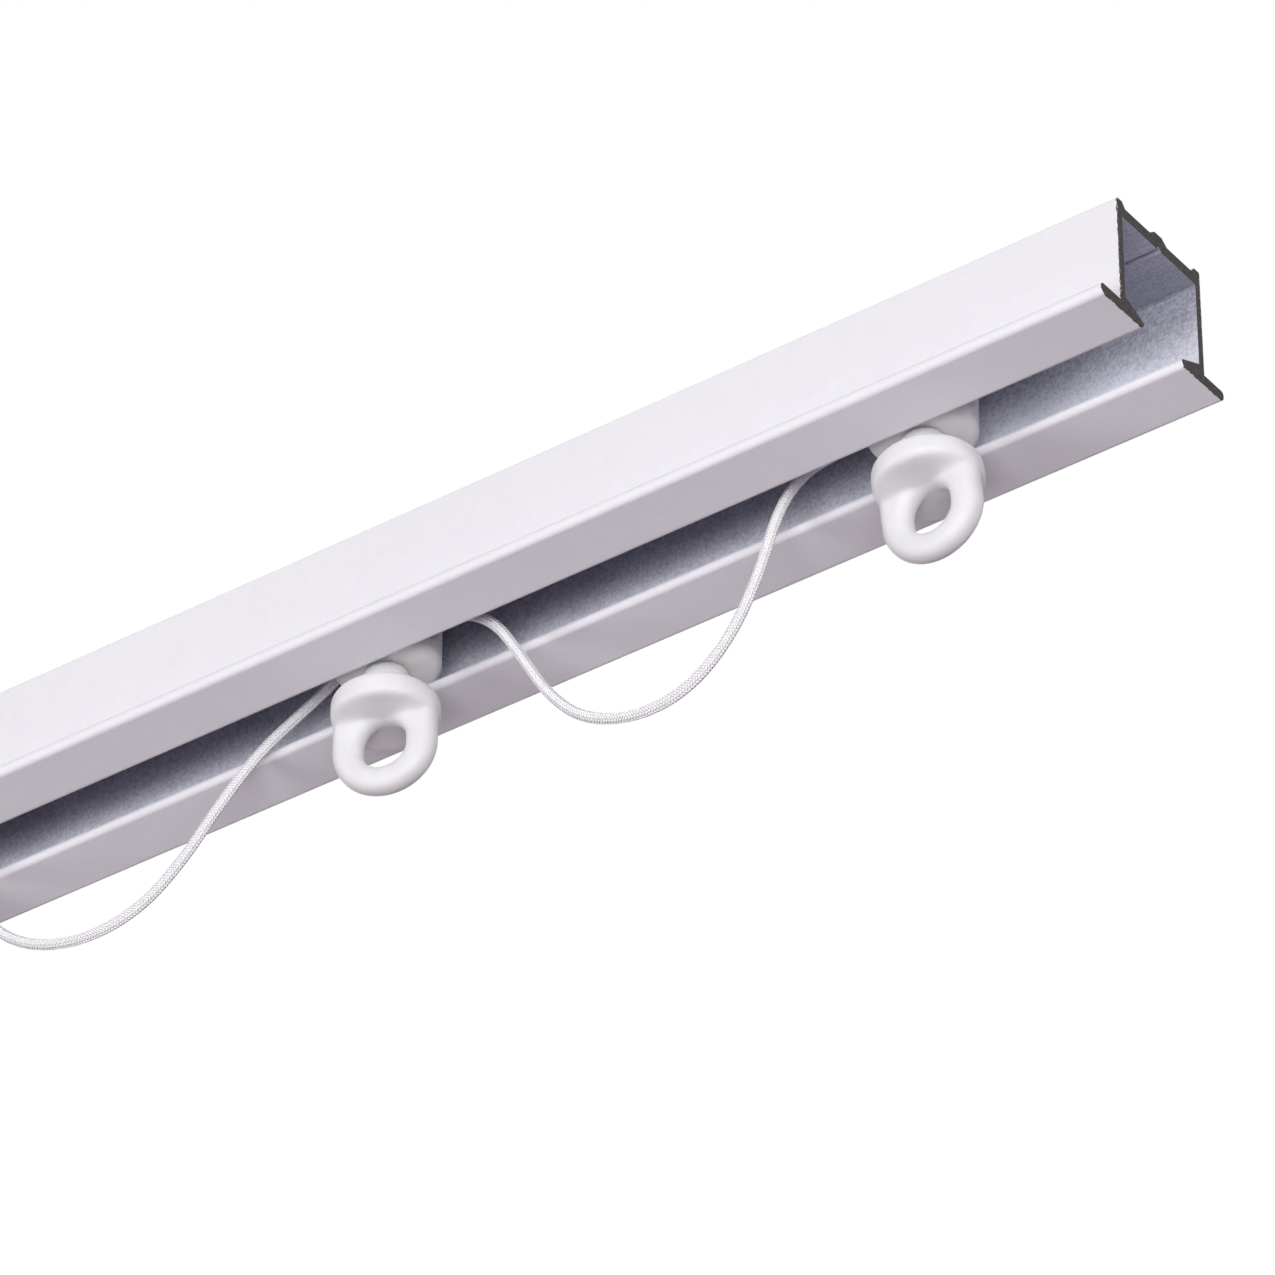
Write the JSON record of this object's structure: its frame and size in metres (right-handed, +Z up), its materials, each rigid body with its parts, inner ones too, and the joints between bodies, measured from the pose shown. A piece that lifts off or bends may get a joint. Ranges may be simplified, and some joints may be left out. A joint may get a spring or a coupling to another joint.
{
  "type": "curtain track",
  "caption": "White ceiling track, open below, with gliders tied together by a thin cord, each with a swivelling eye for a curtain hook.",
  "frame": {"origin": "on the ceiling face, on the middle ridge, halfway along the track", "axes": "+X along the track to the open end, +Z up to the ceiling, -Y the front wall"},
  "size_m": [0.38, 0.02, 0.0291],
  "materials": {
    "coated_aluminium": "white powder coat outside, bare cut ends",
    "glider_plastic": "moulded white plastic",
    "eye_plastic": "moulded white plastic, soft sheen",
    "braided_cord": "fine white braid"
  },
  "bodies": {
    "track": {"track_profile": "coated_aluminium"},
    "glider_1": {"glider_1_carrier": "glider_plastic", "glider_1_cord_clamp": "glider_plastic"},
    "eye_1": {"glider_1_swivel_eye": "eye_plastic"},
    "glider_2": {"glider_2_carrier": "glider_plastic", "glider_2_cord_clamp": "glider_plastic", "cord_span_1": "braided_cord"},
    "eye_2": {"glider_2_swivel_eye": "eye_plastic"},
    "glider_3": {"glider_3_carrier": "glider_plastic", "glider_3_cord_clamp": "glider_plastic", "cord_span_2": "braided_cord"},
    "eye_3": {"glider_3_swivel_eye": "eye_plastic"},
    "glider_4": {"glider_4_carrier": "glider_plastic", "glider_4_cord_clamp": "glider_plastic", "cord_span_3": "braided_cord"},
    "eye_4": {"glider_4_swivel_eye": "eye_plastic"},
    "glider_5": {"glider_5_carrier": "glider_plastic", "glider_5_cord_clamp": "glider_plastic", "cord_span_4": "braided_cord"},
    "eye_5": {"glider_5_swivel_eye": "eye_plastic"}
  },
  "joints": [
    {"name": "glider_1_slide", "type": "slide", "parent": "track", "child": "glider_1", "axis": [1, 0, 0], "range_m": [-0.0289, 0.0208]},
    {"name": "glider_2_slide", "type": "slide", "parent": "glider_1", "child": "glider_2", "axis": [1, 0, 0], "range_m": [-0.0188, 0.05035], "deforming": ["cord_span_1"]},
    {"name": "glider_3_slide", "type": "slide", "parent": "glider_2", "child": "glider_3", "axis": [1, 0, 0], "range_m": [-0.0146, 0.0545], "deforming": ["cord_span_2"]},
    {"name": "glider_4_slide", "type": "slide", "parent": "glider_3", "child": "glider_4", "axis": [1, 0, 0], "range_m": [-0.0188, 0.05035], "deforming": ["cord_span_3"]},
    {"name": "glider_5_slide", "type": "slide", "parent": "glider_4", "child": "glider_5", "axis": [1, 0, 0], "range_m": [-0.0146, 0.0545], "deforming": ["cord_span_4"]},
    {"name": "eye_1_swivel", "type": "hinge", "parent": "glider_1", "child": "eye_1", "pos_m": [0.16395, 0, -0.01093], "axis": [-0.1011, 0, 0.9949], "continuous": true},
    {"name": "eye_2_swivel", "type": "hinge", "parent": "glider_2", "child": "eye_2", "pos_m": [0.1028, 0, -0.01093], "axis": [0, 0, 1], "continuous": true},
    {"name": "eye_3_swivel", "type": "hinge", "parent": "glider_3", "child": "eye_3", "pos_m": [0.0375, 0, -0.01093], "axis": [-0.0175, 0, 0.9998], "continuous": true},
    {"name": "eye_4_swivel", "type": "hinge", "parent": "glider_4", "child": "eye_4", "pos_m": [-0.02365, 0, -0.01093], "axis": [0, 0, 1], "continuous": true},
    {"name": "eye_5_swivel", "type": "hinge", "parent": "glider_5", "child": "eye_5", "pos_m": [-0.08895, 0, -0.01093], "axis": [-0.0349, 0, 0.9994], "continuous": true}
  ]
}
